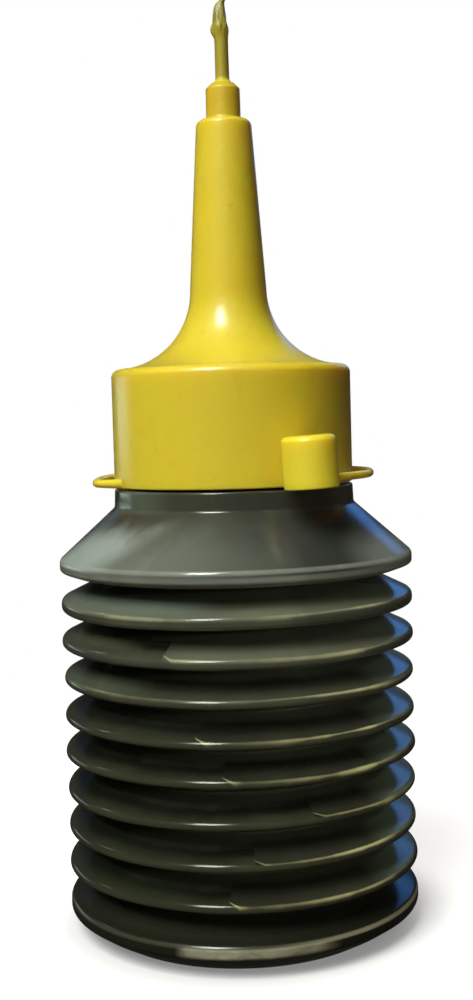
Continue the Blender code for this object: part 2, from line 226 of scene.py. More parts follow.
def rounded(corners, closed=True):
    """A profile's (radius, height, fillet) corners as points, with an arc at each corner with a fillet."""
    points = []
    for i, (radius, height, fillet) in enumerate(corners):
        corner = Vector((radius, height))
        if fillet <= 0 or (not closed and i in (0, len(corners) - 1)):
            points.append(corner)
            continue
        u = (Vector(corners[i - 1][:2]) - corner).normalized()
        v = (Vector(corners[(i + 1) % len(corners)][:2]) - corner).normalized()
        half = u.angle(v) / 2
        centre = corner + (u + v).normalized() * (fillet / math.sin(half))
        start = corner + u * (fillet / math.tan(half)) - centre
        end = corner + v * (fillet / math.tan(half)) - centre
        turn = math.pi - 2 * half
        steps = max(2, math.ceil(turn / ARC_STEP))
        for k in range(steps + 1):
            a = math.sin((1 - k / steps) * turn) / math.sin(turn)
            b = math.sin(k / steps * turn) / math.sin(turn)
            points.append(centre + start * a + end * b)
    return points


def spread(points, closed=True, longest=LONGEST):
    """The points with more between them, so that the surface's shading stays true on long runs."""
    result = []
    count = len(points)
    for i in range(count if closed else count - 1):
        a, b = Vector(points[i]), Vector(points[(i + 1) % count])
        pieces = max(1, math.ceil((b - a).length / longest))
        result += [a.lerp(b, k / pieces) for k in range(pieces)]
    if not closed:
        result.append(Vector(points[-1]))
    return result


def raised(points, height):
    return [(r, z + height) for r, z in points]


def finish_mesh(name, vertices, faces):
    """A mesh of millimetre points in metres, with its faces outward and smooth between sharp edges."""
    mesh = bpy.data.meshes.new(name)
    mesh.from_pydata([tuple(v) for v in np.asarray(vertices, float) * MM], [], faces)
    shape = bmesh.new()
    shape.from_mesh(mesh)
    bmesh.ops.recalc_face_normals(shape, faces=shape.faces)
    shape.to_mesh(mesh)
    shape.free()
    mesh.shade_smooth()
    mesh.set_sharp_from_angle(angle=SHARP)
    return mesh


def skin(rings, closed_along=False, end_caps=True):
    """Vertices and faces over rows of points, each row a closed ring. A row of one point is a pole."""
    vertices, faces, starts = [], [], []
    for ring in rings:
        starts.append((len(vertices), len(ring)))
        vertices += [tuple(p) for p in ring]
    pairs = list(zip(starts, starts[1:]))
    if closed_along:
        pairs.append((starts[-1], starts[0]))
    for (a, na), (b, nb) in pairs:
        n = max(na, nb)
        for i in range(n):
            j = (i + 1) % n
            if na == 1:
                faces.append((a, b + i, b + j))
            elif nb == 1:
                faces.append((a + i, b, a + j))
            else:
                faces.append((a + i, b + i, b + j, a + j))
    if end_caps and not closed_along:
        for start, count in (starts[0], starts[-1]):
            if count > 1:
                faces.append(tuple(range(start, start + count)))
    return vertices, faces


def lathe(name, profile, segments=SEGMENTS, wobble=None, centre=(0.0, 0.0)):
    """A profile of (radius, height) points turned about a vertical axis. It closes on itself,
    unless it starts and ends on the axis. A wobble gives each point's small offsets."""
    angles = np.arange(segments) * math.tau / segments
    rings = []
    for radius, height in profile:
        if radius < ON_AXIS:
            rings.append([(centre[0], centre[1], height)])
            continue
        out, up = wobble(angles, radius) if wobble else (0 * angles, 0 * angles)
        x = centre[0] + (radius + out) * np.cos(angles)
        y = centre[1] + (radius + out) * np.sin(angles)
        rings.append(np.column_stack([x, y, height + up]))
    return finish_mesh(name, *skin(rings, closed_along=profile[0][0] > ON_AXIS))


def sweep(name, points, radii):
    """A round bar along points that never run straight up, with a radius for each and closed ends."""
    points = [Vector(p) for p in points]
    turns = np.arange(BAR_SIDES) * math.tau / BAR_SIDES
    rings = []
    for i, point in enumerate(points):
        along = (points[min(i + 1, len(points) - 1)] - points[max(i - 1, 0)]).normalized()
        side = along.cross(Vector((0, 0, 1))).normalized()
        up = side.cross(along)
        rings.append([point + radii[i] * (side * math.cos(t) + up * math.sin(t)) for t in turns])
    return finish_mesh(name, *skin(rings))


def on_circle(radius, angle, height=0.0):
    a = math.radians(angle)
    return Vector((radius * math.cos(a), radius * math.sin(a), height))


def ease(share):
    return share * share * (3 - 2 * share)


def blend_colours(share, a, b):
    return tuple(x + (y - x) * share for x, y in zip(a, b))


def scaled(colour, light):
    return tuple(light * c for c in colour)


class Finish:
    """A procedural material, with short calls for the nodes that it uses. A value is a number, a
    colour or another node's output."""

    def __init__(self, name):
        self.material = bpy.data.materials.new(name)
        self.material.use_nodes = True
        self.tree = self.material.node_tree
        self.shader = self.tree.nodes["Principled BSDF"]
        self.place = self.add("ShaderNodeTexCoord").outputs["Object"]

    def add(self, kind, **settings):
        node = self.tree.nodes.new(kind)
        for key, value in settings.items():
            setattr(node, key, value)
        return node

    def put(self, value, socket):
        if isinstance(value, bpy.types.NodeSocket):
            self.tree.links.new(value, socket)
        elif isinstance(value, tuple):
            socket.default_value = (*value, 1.0)[: len(socket.default_value)]
        else:
            socket.default_value = value

    def set(self, **values):
        """Sets the shader's sockets by their names with underscores for spaces."""
        for key, value in values.items():
            self.put(value, self.shader.inputs[key.replace("_", " ")])

    def show(self, shader):
        """Shows another shader's output in place of the material's own."""
        self.put(shader, self.tree.nodes["Material Output"].inputs["Surface"])

    def calc(self, operation, a, b=0.0, c=0.0):
        node = self.add("ShaderNodeMath", operation=operation)
        for value, socket in zip((a, b, c), node.inputs):
            self.put(value, socket)
        return node.outputs[0]

    def times(self, first, *others):
        for other in others:
            first = self.calc("MULTIPLY", first, other)
        return first

    def smooth(self, value, low, high):
        """0 below low, 1 above high and smooth between. High may be the smaller."""
        node = self.add("ShaderNodeMapRange", interpolation_type="SMOOTHSTEP")
        for key, given in (("Value", value), ("From Min", low), ("From Max", high)):
            self.put(given, node.inputs[key])
        return node.outputs["Result"]

    def between(self, value, low, high):
        """A number from 0 to 1 stretched from low to high."""
        return self.calc("MULTIPLY_ADD", value, high - low, low)

    def mix(self, share, a, b, blend="MIX"):
        node = self.add("ShaderNodeMix", data_type="RGBA", blend_type=blend)
        for key, value in ((0, share), (6, a), (7, b)):
            self.put(value, node.inputs[key])
        return node.outputs[2]

    def noise(self, scale, detail=2.0, stretch=(1, 1, 1), twist=0.0):
        """Noise from 0 to 1, with its features about 1/scale metres across."""
        mapping = self.add("ShaderNodeMapping")
        self.put(self.place, mapping.inputs["Vector"])
        mapping.inputs["Scale"].default_value = stretch
        node = self.add("ShaderNodeTexNoise")
        self.put(mapping.outputs["Vector"], node.inputs["Vector"])
        for key, value in (("Scale", scale), ("Detail", detail), ("Distortion", twist)):
            self.put(value, node.inputs[key])
        return node.outputs["Fac"]

    def axes(self):
        """The place's x, y and z in metres."""
        parts = self.add("ShaderNodeSeparateXYZ")
        self.put(self.place, parts.inputs[0])
        return parts.outputs

    def polar(self):
        """(radius in millimetres, angle in radians, height in millimetres) about the bottle's axis."""
        x, y, z = self.axes()
        across = self.calc("SQRT", self.calc("ADD", self.times(x, x), self.times(y, y)))
        radius = self.calc("DIVIDE", across, MM)
        return radius, self.calc("ARCTAN2", y, x), self.calc("DIVIDE", z, MM)

    def facing(self, angle, direction):
        """The cosine between an angle in radians and a direction in degrees."""
        return self.calc("COSINE", self.calc("SUBTRACT", angle, math.radians(direction)))

    def bump(self, height, strength, distance):
        node = self.add("ShaderNodeBump")
        for key, value in (("Height", height), ("Strength", strength), ("Distance", distance)):
            self.put(value, node.inputs[key])
        return node.outputs["Normal"]


YELLOW_PALE = (0.785, 0.590, 0.032)
YELLOW_DEEP = (0.735, 0.542, 0.022)
SEAT_YELLOW = (0.640, 0.462, 0.022)
SMUDGE = (0.55, 0.42, 0.022)
MARK = (0.42, 0.31, 0.03)


def yellow_finish(name="yellow_plastic", light=1.0):
    """Moulded yellow polyethylene with slow colour drift, faint smudges and a fine skin."""
    f = Finish(name)
    drift = f.noise(55, 3, twist=0.4)
    # A light above 1 makes a paler copy of the yellow: painted light.
    colour = f.mix(drift, scaled(YELLOW_DEEP, light), scaled(YELLOW_PALE, light))
    colour = f.mix(f.smooth(f.polar()[2], SPOUT_TOP - 0.6, SPOUT_TOP + 0.4), colour, SEAT_YELLOW)
    smudge = f.smooth(f.noise(240, 4, stretch=(1, 1, 0.45), twist=1.2), 0.60, 0.74)
    colour = f.mix(f.times(smudge, 0.20), colour, SMUDGE)
    mark = f.smooth(f.noise(420, 3, stretch=(1, 1, 0.6), twist=3.0), 0.68, 0.76)
    colour = f.mix(f.times(mark, 0.30), colour, MARK)
    grain = f.noise(900, 3)
    scuff = f.smooth(f.noise(130, 4, stretch=(1, 1, 3), twist=2.5), 0.52, 0.75)
    rough = f.calc("ADD", f.between(grain, 0.21, 0.27), f.times(scuff, 0.03))
    skin_height = f.calc("ADD", f.times(grain, 0.3), f.noise(260, 2))
    f.set(Base_Color=colour, Roughness=rough, Normal=f.bump(skin_height, 0.10, 0.0002))
    f.set(Subsurface_Weight=0.5, Subsurface_Radius=(1.0, 0.40, 0.05), Subsurface_Scale=0.005)
    f.set(Coat_Weight=0.9, Coat_Roughness=0.55)
    return f.material


# The nib's colours between and on its fibres, and at its foot
STEM_COLOURS = ((0.31, 0.25, 0.022), (0.44, 0.36, 0.040))
TORN_COLOURS = ((0.16, 0.15, 0.030), (0.42, 0.38, 0.080))
NIB_FOOT = (0.72, 0.57, 0.03)


def nib_finish():
    """The nib's thin, drawn plastic: duller, with fibres along it and a darker torn end."""
    f = Finish("torn_plastic")
    height = f.polar()[2]
    fibre = f.noise(1500, 3, stretch=(1, 1, 0.12), twist=0.5)
    stem, torn = f.mix(fibre, *STEM_COLOURS), f.mix(fibre, *TORN_COLOURS)
    colour = f.mix(f.smooth(height, SEAT_TOP + 6.8, SEAT_TOP + 9.6), stem, torn)
    colour = f.mix(f.smooth(height, SEAT_TOP + 0.9, SEAT_TOP), colour, NIB_FOOT)
    f.set(Base_Color=colour, Roughness=f.between(fibre, 0.32, 0.5), Normal=f.bump(fibre, 0.4, 0.0003))
    f.set(Subsurface_Weight=0.2, Subsurface_Radius=(1.0, 0.85, 0.2), Subsurface_Scale=0.001)
    return f.material


HAZE_LIGHT = (1.5, 1.5, 1.45)
DUST = (0.16, 0.17, 0.14)


def smoke_surface(f, colour, gloss=0.0):
    """The bottle's blown skin on a colour: haze, dust, fine dents and uneven gloss."""
    haze = f.noise(70, 3, stretch=(1, 1, 0.5), twist=0.8)
    hazy = f.mix(1.0, colour, HAZE_LIGHT, "MULTIPLY")
    colour = f.mix(f.times(f.smooth(haze, 0.42, 0.72), 0.5), colour, hazy)
    dust = f.smooth(f.noise(2300, 2), 0.73, 0.80)
    colour = f.mix(f.times(dust, 0.10), colour, DUST)
    grain = f.noise(700, 3)
    ripple = f.noise(150, 2, stretch=(1, 1, 2.5))
    height = f.calc("ADD", f.times(grain, 0.15), ripple)
    rough = f.calc("ADD", f.between(grain, 0.11 - gloss, 0.17 - gloss), f.times(haze, 0.06))
    f.set(Base_Color=colour, Roughness=rough, Normal=f.bump(height, 0.10, 0.0003))
    return f.material


# Each fold from the top down: how milky its rim is, where the air pocket behind its rim starts and how
# far round it runs, how light the plastic is over the pocket's thin end, and its colour at the left,
# which is painted light and reflection, lighter on the upper folds
ALL_ROUND = 360.0
FOLD_LOOKS = {
    8: (0.80, -200.0, ALL_ROUND, 0.050, (0.115, 0.145, 0.118)),
    7: (0.70, -113.5, 215.0, 0.052, (0.070, 0.074, 0.044)),
    6: (0.40, -215.0, ALL_ROUND, 0.017, (0.050, 0.062, 0.042)),
    5: (0.25, -104.0, 190.0, 0.013, (0.012, 0.015, 0.010)),
    4: (0.20, -96.0, 170.0, 0.012, (0.008, 0.009, 0.006)),
    3: (0.15, -68.0, 160.0, 0.012, (0.008, 0.009, 0.006)),
    2: (0.15, -87.0, 185.0, 0.016, (0.010, 0.012, 0.008)),
    1: (0.15, -95.0, 200.0, 0.016, (0.011, 0.014, 0.008)),
}
# Colours of a fold, each from one that is full of grease to a milky one
# Roots lighter than the flanks: painted light in the gaps between folds.
ROOT_PAINTED_FILL_COLOURS = ((0.046, 0.054, 0.034), (0.056, 0.066, 0.046))
GLOW_COLOURS = ((0.018, 0.019, 0.010), (0.110, 0.120, 0.084))
RIM_TOP_COLOURS = ((0.024, 0.024, 0.014), (0.055, 0.060, 0.043))
RIM_LOW_COLOURS = ((0.026, 0.026, 0.014), (0.045, 0.050, 0.036))
EDGE_COLOURS = ((0.50, 0.47, 0.21), (0.33, 0.34, 0.21))
FLANK = (0.0065, 0.0075, 0.0048)
FOLD_FAR_PAINTED_LIGHT = (0.105, 0.138, 0.098)
# Over a pocket, as shares of how light its thin end is, at the front and lighter at the right, painted light
POCKET_FRONT = (0.92, 1.0, 0.66)
POCKET_RIGHT_PAINTED_LIGHT = (2.1, 2.25, 1.5)
DIM_GLOW = 0.3
LEFT_ANGLE = 208.0
LEFT_FADE = (0.50, 0.87)
LEFT_FADES = {7: (0.84, 0.99), 6: (0.80, 0.99)}
RIGHT_ANGLE = -10.0
EDGE_ON_ANGLE = -5.0
# The pocket's pale edge, which rises in a hook at its start, whose turn is in radians
POCKET_LINE = 24.74
HOOK_RISE = 0.9
HOOK_TURN = 0.075
HOOK_SHINE = 0.6
# Folds whose edge also shows at the front
FRONT_LINES = (7, 8)
FRONT_ANGLE = 243.0


def fold_finish(k):
    """A fold: black with grease, olive at its rim, with the pale edge of an air pocket. Its root and sides
    take painted light, and the lower part of its milky rims painted shade.
    """
    milk, start, span, thin, left = FOLD_LOOKS[k]
    f = Finish(f"fold_{k}_plastic")
    radius, angle, height = f.polar()
    above = f.calc("SUBTRACT", height, BASE_CREST_Z + k * PITCH + SAG.get(k, 0.0))
    streak = f.noise(110, 3, stretch=(1, 1, 0.3), twist=1.0)
    uneven = f.calc("ADD", radius, f.between(streak, -0.9, 0.9))
    right = f.facing(angle, RIGHT_ANGLE)
    painted_light_right = f.smooth(right, 0.15, 1.0)
    # Painted light and reflection: flanks and pockets take a lighter colour on the left side.
    painted_left_mask = f.smooth(f.facing(angle, LEFT_ANGLE), *LEFT_FADES.get(k, LEFT_FADE))
    flank = f.mix(painted_left_mask, FLANK, left)
    colour = f.mix(f.smooth(uneven, 20.6, 22.6), blend_colours(milk, *ROOT_PAINTED_FILL_COLOURS), flank)

    # The pocket's real edge is drawn stronger toward the right and fainter where that side turns edge-on:
    # painted light.
    strength = f.between(painted_light_right, 0.14, 1.0)
    if span < ALL_ROUND:
        along = f.calc("WRAP", f.calc("SUBTRACT", angle, math.radians(start)), math.tau, 0.0)
        end = math.radians(span)
        inside = f.times(f.smooth(along, 0.0, 0.02), f.smooth(along, end, end - 0.3))
        ahead = f.calc("MAXIMUM", f.calc("MULTIPLY_ADD", along, -1 / HOOK_TURN, 1.0), 0.0)
        line = f.calc("MULTIPLY_ADD", f.times(ahead, ahead), -HOOK_RISE, POCKET_LINE)
        hook = f.smooth(along, 2 * HOOK_TURN, 0.5 * HOOK_TURN)
        strength = f.calc("MAXIMUM", strength, f.times(hook, HOOK_SHINE))
    else:
        inside = 1.0
        line = f.between(f.noise(45, 2), POCKET_LINE - 0.15, POCKET_LINE + 0.15)
    if k in FRONT_LINES:
        front = f.smooth(f.facing(angle, FRONT_ANGLE), 0.93, 0.985)
        strength = f.calc("MAXIMUM", strength, f.times(front, 0.5))

    beyond = f.calc("SUBTRACT", radius, line)
    filled = f.times(f.smooth(beyond, 0.1, -0.2), f.smooth(uneven, 20.2, 22.4), inside)
    # Painted light: the pocket grows lighter toward the right side.
    pocket = f.mix(painted_light_right, scaled(POCKET_FRONT, thin), scaled(POCKET_RIGHT_PAINTED_LIGHT, thin))
    colour = f.mix(filled, colour, f.mix(painted_left_mask, pocket, left))
    # Painted light and reflection: the flanks are lighter at the far right.
    far = f.times(f.smooth(right, 0.80, 0.97), f.smooth(uneven, 20.4, 21.6))
    colour = f.mix(far, colour, FOLD_FAR_PAINTED_LIGHT)

    dim_glow = blend_colours(DIM_GLOW * milk, *GLOW_COLOURS)
    glow = f.mix(inside, dim_glow, blend_colours(milk, *GLOW_COLOURS))
    glowing = f.smooth(uneven, 22.9 - 0.9 * milk, 24.9 - 0.6 * milk)
    colour = f.mix(f.times(glowing, f.between(inside, 1.0, milk)), colour, glow)
    # On the milky folds the rim's lower part is darker than its top: painted shade under its nose.
    rim_low, rim_top = blend_colours(milk, *RIM_LOW_COLOURS), blend_colours(milk, *RIM_TOP_COLOURS)
    rim = f.mix(f.smooth(above, -0.60, 0.0), rim_low, rim_top)
    colour = f.mix(f.smooth(radius, 24.66, 24.84), colour, rim)

    broken = f.smooth(f.noise(160, 3), 0.30, 0.65)
    near = f.smooth(f.calc("ABSOLUTE", beyond), f.between(broken, 0.10, 0.22), 0.02)
    upper = f.between(f.smooth(above, -0.45, -0.20), 0.15, 1.0)
    edge_on = f.smooth(f.facing(angle, EDGE_ON_ANGLE), 0.76, 0.92)
    patchy, side_on = f.between(broken, 0.40, 0.95), f.between(edge_on, 1.0, 0.12)
    drawn = f.times(near, inside, upper, strength, patchy, side_on)
    colour = f.mix(drawn, colour, blend_colours(milk, *EDGE_COLOURS))
    f.set(Specular_IOR_Level=0.3)
    return smoke_surface(f, colour)


# The root is lighter than the rim: painted light in the gap under the crest.
BASE_ROOT_PAINTED_FILL = (0.030, 0.034, 0.022)
BASE_RIM = (0.012, 0.013, 0.008)
LIP_FRONT = (0.040, 0.039, 0.026)
LIP_RIGHT_PAINTED_LIGHT = (0.200, 0.190, 0.125)
FOOT_SCUFF = (0.020, 0.019, 0.013)
BASE_PAINTED_HIGHLIGHT = (0.40, 0.39, 0.27)
# Where the base's crest wall carries a painted highlight: the patch's angle, its cosine's fade and its
# strength
PAINTED_HIGHLIGHT_PATCHES = ((261.0, 0.975, 0.998, 1.0), (279.0, 0.93, 0.985, 0.62))


def base_finish():
    """The base: as the lowest folds, with a painted highlight on its crest's wall at the front, and painted
    light on its lip at the right and in its root.
    """
    f = Finish("base_plastic")
    radius, angle, height = f.polar()
    colour = f.mix(f.smooth(radius, 20.5, 24.4), BASE_ROOT_PAINTED_FILL, BASE_RIM)
    # Painted light: the lip's pale line grows lighter toward the right side.
    painted_light_right = f.smooth(f.facing(angle, RIGHT_ANGLE), 0.20, 0.75)
    lip = f.times(f.smooth(radius, 24.60, 24.85), f.smooth(height, BASE_CREST_Z - 0.35, BASE_CREST_Z - 0.10))
    colour = f.mix(lip, colour, f.mix(painted_light_right, LIP_FRONT, LIP_RIGHT_PAINTED_LIGHT))
    scuff = f.smooth(f.noise(300, 4, stretch=(1, 1, 2), twist=0.8), 0.42, 0.70)
    foot = f.smooth(height, 3.0, 1.8)
    colour = f.mix(f.times(foot, f.between(scuff, 0.2, 0.6)), colour, FOOT_SCUFF)
    # Painted highlight: a pale patch on the crest's wall at the front, broken up by the scuffs.
    painted_wall_highlight = 0.0
    for middle, low, high, most in PAINTED_HIGHLIGHT_PATCHES:
        patch = f.smooth(f.facing(angle, middle), low, high)
        painted_wall_highlight = f.calc("MAXIMUM", f.times(patch, most), painted_wall_highlight)
    wall = f.times(f.smooth(height, 2.6, 3.6), f.smooth(height, BASE_CREST_Z + 0.1, BASE_CREST_Z - 0.2))
    colour = f.mix(f.times(painted_wall_highlight, wall, f.between(scuff, 0.6, 1.0)), colour, BASE_PAINTED_HIGHLIGHT)
    f.set(Specular_IOR_Level=0.4)
    return smoke_surface(f, colour, gloss=-0.04)


MILK_TOP = (0.040, 0.041, 0.028)
TOP_LEFT_PAINTED_REFLECTION = (0.080, 0.098, 0.105)
MILK_LOW = (0.122, 0.136, 0.112)
RIGHT_PAINTED_SHADE = (0.030, 0.034, 0.028)
PAINTED_SHOULDER_HIGHLIGHT = (0.27, 0.31, 0.285)
SHOULDER_FAR_PAINTED_LIGHT = (0.180, 0.198, 0.172)
COLLAR = (0.040, 0.042, 0.030)
COLLAR_LEFT_PAINTED_REFLECTION = (0.078, 0.094, 0.066)
NECK = (0.120, 0.130, 0.105)
CREST_LINE = (0.28, 0.30, 0.26)
CREST = (0.145, 0.158, 0.130)
UNDER_ROOT_PAINTED_SHADE = (0.018, 0.020, 0.014)
UNDER_RIM_PAINTED_LIGHT = (0.24, 0.26, 0.225)
# The painted highlight's angle at the crest, and how far it leans for each millimetre up
HIGHLIGHT_ANGLE = 203.0
HIGHLIGHT_LEAN = 3.4


def shoulder_finish():
    """The shoulder, collar and neck over air: milky, lighter to the rim, darker at the collar, with painted
    shade at the right, painted light at the far right and low under the rim, and a painted highlight and
    reflections at the left.
    """
    f = Finish("shoulder_plastic")
    radius, angle, height = f.polar()
    streak = f.noise(130, 3, stretch=(1, 1, 0.35), twist=1.5)
    level = f.calc("ADD", height, f.between(streak, -1.6, 1.6))
    right = f.facing(angle, RIGHT_ANGLE)
    # Painted reflection: bluish grey near the collar on the left side.
    top = f.mix(f.smooth(f.calc("COSINE", angle), -0.82, -1.0), MILK_TOP, TOP_LEFT_PAINTED_REFLECTION)
    milk = f.mix(f.smooth(level, COLLAR_Z - 0.3, SHOULDER_Z + 1.6), top, MILK_LOW)
    # Painted shade: darker toward the right side.
    milk = f.mix(f.smooth(right, -0.30, 0.70), milk, RIGHT_PAINTED_SHADE)
    up = f.calc("SUBTRACT", height, SHOULDER_Z)
    facing = f.facing(f.calc("MULTIPLY_ADD", up, -math.radians(HIGHLIGHT_LEAN), angle), HIGHLIGHT_ANGLE)
    # Painted highlight: a light streak at the left that leans as it rises.
    painted_highlight = f.times(f.smooth(facing, 0.90, 1.0), f.smooth(level, COLLAR_Z - 1.0, SHOULDER_Z + 2.2))
    colour = f.mix(painted_highlight, milk, PAINTED_SHOULDER_HIGHLIGHT)
    # Painted reflection and light: the collar is lighter on the left side.
    collar = f.mix(f.smooth(f.facing(angle, LEFT_ANGLE), 0.82, 0.99), COLLAR, COLLAR_LEFT_PAINTED_REFLECTION)
    colour = f.mix(f.smooth(height, COLLAR_Z - 0.8, COLLAR_Z + 0.5), colour, collar)
    colour = f.mix(f.smooth(height, COLLAR_TOP + 0.2, COLLAR_TOP + 1.5), colour, NECK)
    # Painted light: lighter low on the far right.
    far = f.times(f.smooth(right, 0.70, 0.95), f.smooth(up, 5.0, 1.4))
    colour = f.mix(far, colour, SHOULDER_FAR_PAINTED_LIGHT)
    line = f.times(f.smooth(radius, 24.55, 24.80), f.smooth(up, -0.45, -0.10))
    colour = f.mix(f.times(line, f.between(streak, 0.2, 0.7)), colour, CREST_LINE)
    colour = f.mix(f.smooth(up, -0.35, -0.80), colour, CREST)
    # Under the crest: painted light near the rim, fading to painted shade toward the root.
    under = f.mix(f.smooth(radius, 21.8, 23.4), UNDER_ROOT_PAINTED_SHADE, UNDER_RIM_PAINTED_LIGHT)
    colour = f.mix(f.smooth(up, -1.45, -1.9), colour, under)
    f.set(Subsurface_Weight=0.4, Subsurface_Radius=(1.0, 1.0, 0.9), Subsurface_Scale=0.002)
    return smoke_surface(f, colour)


GREASE_COLOURS = ((0.008, 0.009, 0.006), (0.022, 0.023, 0.016))


def grease_finish():
    """Soft dark grease with slow folds in its surface."""
    f = Finish("grease")
    slow = f.noise(120, 4, twist=1.5)
    colour = f.mix(slow, *GREASE_COLOURS)
    f.set(Base_Color=colour, Roughness=f.between(slow, 0.25, 0.5), Normal=f.bump(slow, 0.5, 0.0008))
    return f.material


FOAM_COLOURS = ((0.66, 0.65, 0.60), (0.82, 0.81, 0.77))
FOAM_CELLS = 3200.0  # in a metre


def foam_finish():
    """White foam with closed cells."""
    f = Finish("foam")
    cell = f.add("ShaderNodeTexVoronoi")
    f.put(f.place, cell.inputs["Vector"])
    f.put(FOAM_CELLS, cell.inputs["Scale"])
    depth = cell.outputs["Distance"]
    colour = f.mix(depth, *FOAM_COLOURS)
    f.set(Base_Color=colour, Roughness=f.between(depth, 0.75, 0.95), Normal=f.bump(depth, 0.5, 0.0002))
    return f.material


def add_object(name, data):
    obj = bpy.data.objects.new(name, data)
    bpy.context.scene.collection.objects.link(obj)
    return obj


def add_piece(name, mesh, material, body, replaces=()):
    """A piece that rides on a body and stands for CAD nodes. Without a body, it rides on none."""
    obj = add_object(name, mesh)
    mesh.materials.append(material)
    if body:
        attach(obj, body)
    if replaces:
        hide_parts(*replaces)
    return obj


def refinish(node, material):
    """Gives a CAD node that stays a better material."""
    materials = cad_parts[node].data.materials
    materials.clear()
    materials.append(material)


def valley(side, slope):
    """The root's rounding, from the flank to its deepest point half a pitch from the crest."""
    fillet = VALLEY_DEPTH * math.sin(slope)
    points = []
    for i in range(VALLEY_STEPS + 1):
        a = slope + (math.pi / 2 - slope) * i / VALLEY_STEPS
        radius = ROOT_R + VALLEY_DEPTH - fillet * math.sin(a)
        points.append((radius, side * (HALF - SEAM - fillet * math.cos(a))))
    return points


def half_fold(side, sag=0.0, rim=None, middle=RIM_MIDDLE):
    """One flank's closed outline about the fold's plane: the outside from the crest to the root, then
    inside. Its rim's corners and the height at which its crest starts may be given."""
    if rim is None:
        rim = [RIM_TOP if side > 0 else RIM_LOW]
    rim = [(radius, height + sag, fillet) for radius, height, fillet in rim]
    edge_radius, edge, _ = rim[-1]
    root = valley(side, math.atan2(HALF - side * edge, edge_radius - ROOT_R))
    outside = [(CREST_R, sag + middle, 0), *rim, (*root[0], 0)]
    outside = spread(rounded(outside, closed=False), closed=False)
    inside = [(INNER_R, side * (HALF - SEAM)), (INNER_R, side * (HALF - INNER_EDGE)), (INNER_TIP, sag)]
    return outside + [Vector(p) for p in root[1:]] + [Vector(p) for p in inside]


def whole_fold(k):
    sag = SAG.get(k, 0.0)
    upper = half_fold(1, sag)
    lower = half_fold(-1, sag, [THICK_RIMS.get(k, RIM_LOW)])
    return list(reversed(upper[:-1])) + lower[1:]


def fold_wobble(k):
    """Each fold's own small unevenness, which fades to nothing at the roots that it shares."""

    def wobble(angles, radius):
        share = max(0.0, (radius - WOBBLE_START) / (CREST_R - WOBBLE_START))
        out, up = (
            sum(size * np.sin(waves * angles + phase * k) for size, waves, phase in parts)
            for parts in (WOBBLE_OUT, WOBBLE_UP)
        )
        return (out - WOBBLE_INSET) * share, up * share

    return wobble


def fold_flank(flank):
    """Gives an end flank its own mesh."""
    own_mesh(flank)


def add_bottle():
    for k in range(1, FOLDS + 1):
        z = BASE_CREST_Z + k * PITCH
        name = f"fold_{k}_skin"
        mesh = lathe(name, raised(whole_fold(k), z), wobble=fold_wobble(k))
        fold = add_piece(name, mesh, fold_finish(k), f"fold_{k}", [f"bellows_fold_{k}"])
        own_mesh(fold)
    base = base_finish()
    foot = [
        (0, RECESS + WALL, 0),
        (FOOT_R - FOOT_RING - RECESS, RECESS + WALL, 0.3),
        (FOOT_R - FOOT_RING, WALL, 0.3),
        (FOOT_R - WALL, WALL, 0.5),
        (INNER_TIP, BASE_CREST_Z, 0),
        (CREST_R, BASE_CREST_Z + RIM_MIDDLE, 0),
        (CREST_R, BASE_CREST_Z - 1.45, 0.70),
        (FOOT_R + 2.3, 1.40, 2.2),
        (FOOT_R - 0.1, 0.0, 0.5),
        (FOOT_R - FOOT_RING, 0.0, 0.4),
        (FOOT_R - FOOT_RING - RECESS, RECESS, 0.4),
        (0, RECESS, 0),
    ]
    mesh = lathe("base_skin", spread(rounded(foot, closed=False), closed=False))
    add_piece("base_skin", mesh, base, "base", ["bottle_base"])
    mesh = lathe("base_flank", raised(half_fold(1), BASE_CREST_Z))
    flank = add_piece("base_flank", mesh, base, "base")
    fold_flank(flank)

    milky = shoulder_finish()
    neck = [
        (CREST_R, SHOULDER_Z + SHOULDER_MIDDLE, 0),
        (CREST_R, SHOULDER_Z, 1.0),
        (COLLAR_R + 0.1, COLLAR_Z - 0.1, 0.7),
        (COLLAR_R, COLLAR_TOP, 0.35),
        (NECK_R, COLLAR_TOP, 0.3),
        (NECK_R, LIP_Z, 0.4),
        (NECK_BORE, LIP_Z, 0.4),
        (NECK_BORE, COLLAR_TOP - WALL, 0.4),
        (COLLAR_R - WALL, COLLAR_TOP - WALL, 0.4),
        (COLLAR_R - WALL, COLLAR_Z - 0.5, 0.8),
        (INNER_TIP, SHOULDER_Z, 0),
    ]
    mesh = lathe("shoulder_skin", spread(rounded(neck)))
    add_piece("shoulder_skin", mesh, milky, "neck", ["bottle_shoulder", "bottle_neck"])
    outline = half_fold(-1, rim=SHOULDER_RIM, middle=SHOULDER_MIDDLE)
    mesh = lathe("shoulder_flank", raised(outline, SHOULDER_Z))
    flank = add_piece("shoulder_flank", mesh, milky, "neck")
    fold_flank(flank)
    add_piece("neck_thread", thread("neck_thread", *NECK_THREAD), milky, "neck")


def thread(name, radius, start):
    """A right-hand helical bead that runs out at both ends."""
    points, radii = [], []
    for i in range(THREAD_STEPS + 1):
        turn = THREAD_TURNS * i / THREAD_STEPS
        points.append(on_circle(radius, 360 * turn, start + THREAD_PITCH * turn))
        full = ease(min(1.0, THREAD_RUN_OUT * min(i, THREAD_STEPS - i) / THREAD_STEPS))
        radii.append(THREAD_BEAD * (THREAD_END + (1 - THREAD_END) * full))
    return sweep(name, points, radii)


